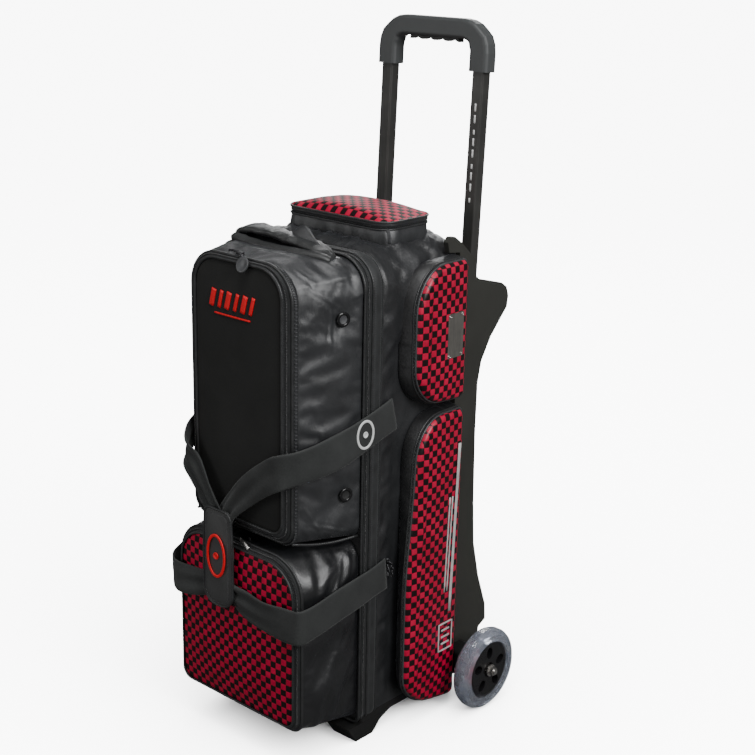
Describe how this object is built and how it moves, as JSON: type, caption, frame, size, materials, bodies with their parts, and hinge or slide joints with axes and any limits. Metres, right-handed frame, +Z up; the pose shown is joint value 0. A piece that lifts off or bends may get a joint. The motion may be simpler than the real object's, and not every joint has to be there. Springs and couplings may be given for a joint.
{
  "type": "bowling ball roller bag",
  "caption": "Upright wheeled bowling ball bag with a telescopic handle, opening front door with shoe compartment, lidded side and top pockets, and carry straps.",
  "frame": {"origin": "on the floor, under the middle of the bag's bounding box", "axes": "+Z up, +Y to the rear (handle and wheel side), +X to the bag's right, seen from behind the handle facing the front being -Y"},
  "size_m": [0.441, 0.447, 1.0202],
  "materials": {
    "board": "nylon over padded board",
    "nylon": "shiny woven nylon",
    "padding": "matte padded fabric",
    "checker": "glossy checked vinyl",
    "foam": "matte foam",
    "webbing": "woven webbing",
    "moulded": "fine textured",
    "grip": "satin",
    "hub": "satin",
    "tube": "semi-gloss",
    "steel": "zinc plated",
    "plate": "satin",
    "zip": "dark nickel",
    "tyre": "clear urethane"
  },
  "bodies": {
    "bag_body": {"side_board_left": "board", "side_board_right": "board", "top_board": "board", "back_board": "board", "base_tray": "moulded", "rear_cheek_left": "moulded", "rear_cheek_right": "moulded", "axle_bracket_left": "moulded", "axle_bracket_right": "moulded", "axle_beam": "moulded", "axle_rod": "steel", "axle_nut_left": "steel", "axle_nut_right": "steel", "front_foot_left": "moulded", "front_foot_right": "moulded", "ball_cradle_low": "foam", "ball_cradle_mid": "foam", "ball_cradle_high": "foam", "outer_tube_left": "tube", "outer_tube_right": "tube", "rear_cover": "moulded", "tube_bracket": "moulded", "handle_bezel": "moulded", "side_pocket_upper_left": "nylon", "side_pocket_upper_right": "nylon", "side_pocket_lower_left": "nylon", "side_pocket_lower_right": "nylon", "top_pocket": "nylon", "carry_strap_upper": "webbing", "carry_strap_lower": "webbing", "strap_wrap": "padding"},
    "front_door": {"door_board": "board", "shoe_compartment": "nylon", "front_pocket": "checker", "vent_upper_left": "steel", "vent_upper_right": "steel", "vent_lower_left": "steel", "vent_lower_right": "steel", "grab_handle": "webbing"},
    "shoe_flap": {"shoe_lid": "padding"},
    "shoe_slider": {"shoe_zip_slider": "zip"},
    "pocket_slider": {"pocket_zip_slider": "zip"},
    "main_slider": {"main_zip_slider": "zip"},
    "handle": {"inner_tube_left": "tube", "inner_tube_right": "tube", "handle_grip": "grip"},
    "trigger": {"release_trigger": "grip"},
    "wheel_left": {"tyre_left": "tyre", "wheel_hub_left": "hub", "wheel_bearing_left": "steel"},
    "wheel_right": {"tyre_right": "tyre", "wheel_hub_right": "hub", "wheel_bearing_right": "steel"},
    "top_lid": {"top_pocket_lid": "checker"},
    "upper_lid_left": {"side_lid_upper_left": "checker", "metal_plate_left": "plate"},
    "upper_lid_right": {"side_lid_upper_right": "checker", "metal_plate_right": "plate"},
    "lower_lid_left": {"side_lid_lower_left": "checker"},
    "lower_lid_right": {"side_lid_lower_right": "checker"}
  },
  "joints": [
    {"name": "handle_slide", "type": "slide", "parent": "bag_body", "child": "handle", "axis": [0, 0.044, 0.999], "range_m": [-0.225, 0]},
    {"name": "trigger_slide", "type": "slide", "parent": "handle", "child": "trigger", "axis": [0, 0.044, 0.999], "range_m": [0, 0.003], "stiffness_N_per_m": 800},
    {"name": "wheel_left_spin", "type": "hinge", "parent": "bag_body", "child": "wheel_left", "pos_m": [-0.1965, 0.125, 0.0635], "axis": [1, 0, 0], "continuous": true},
    {"name": "wheel_right_spin", "type": "hinge", "parent": "bag_body", "child": "wheel_right", "pos_m": [0.1965, 0.125, 0.0635], "axis": [1, 0, 0], "continuous": true},
    {"name": "door_hinge", "type": "hinge", "parent": "bag_body", "child": "front_door", "pos_m": [-0.1305, -0.078, 0.38], "axis": [0, 0, -1], "range_deg": [0, 105], "deforming": ["carry_strap_upper", "carry_strap_lower", "strap_wrap"]},
    {"name": "shoe_flap_hinge", "type": "hinge", "parent": "front_door", "child": "shoe_flap", "pos_m": [0, -0.1975, 0.4757], "axis": [1, 0, 0], "range_deg": [0, 90]},
    {"name": "shoe_slider_run", "type": "slide", "parent": "front_door", "child": "shoe_slider", "axis": [1, 0, 0], "range_m": [-0.035, 0.05]},
    {"name": "pocket_slider_run", "type": "slide", "parent": "front_door", "child": "pocket_slider", "axis": [1, 0, 0], "range_m": [-0.06, 0.05]},
    {"name": "main_slider_run", "type": "slide", "parent": "bag_body", "child": "main_slider", "axis": [1, 0, 0], "range_m": [-0.1, 0.08]},
    {"name": "top_lid_hinge", "type": "hinge", "parent": "bag_body", "child": "top_lid", "pos_m": [0, 0.0945, 0.7503], "axis": [-1, 0, 0], "range_deg": [0, 100]},
    {"name": "upper_lid_left_hinge", "type": "hinge", "parent": "bag_body", "child": "upper_lid_left", "pos_m": [-0.1538, 0.0985, 0.585], "axis": [0, 0, -1], "range_deg": [0, 90]},
    {"name": "upper_lid_right_hinge", "type": "hinge", "parent": "bag_body", "child": "upper_lid_right", "pos_m": [0.1538, 0.0985, 0.585], "axis": [0, 0, 1], "range_deg": [0, 90]},
    {"name": "lower_lid_left_hinge", "type": "hinge", "parent": "bag_body", "child": "lower_lid_left", "pos_m": [-0.1538, 0.0985, 0.247], "axis": [0, 0, -1], "range_deg": [0, 25]},
    {"name": "lower_lid_right_hinge", "type": "hinge", "parent": "bag_body", "child": "lower_lid_right", "pos_m": [0.1538, 0.0985, 0.247], "axis": [0, 0, 1], "range_deg": [0, 25]}
  ]
}
